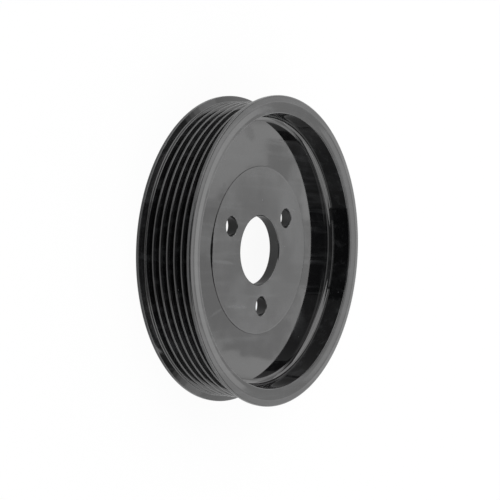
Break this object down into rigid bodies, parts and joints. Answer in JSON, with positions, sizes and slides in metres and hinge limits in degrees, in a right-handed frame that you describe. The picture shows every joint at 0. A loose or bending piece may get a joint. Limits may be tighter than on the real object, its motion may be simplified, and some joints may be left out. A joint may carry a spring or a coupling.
{
  "type": "power steering pump pulley",
  "caption": "Flanged pulley with V grooves round its rim for a ribbed belt, recessed on both faces, with a centring bore and a ring of bolt holes in its web.",
  "frame": {"origin": "centre of the back face of the rim, on the axis of the bore", "axes": "+Z along the axis of the bore, from the back face that it lies on to the front face; +Y towards the first bolt hole"},
  "size_m": [0.1338, 0.1338, 0.027],
  "materials": {
    "black_plastic": "gloss"
  },
  "bodies": {
    "root": {"pulley": "black_plastic"}
  },
  "joints": []
}
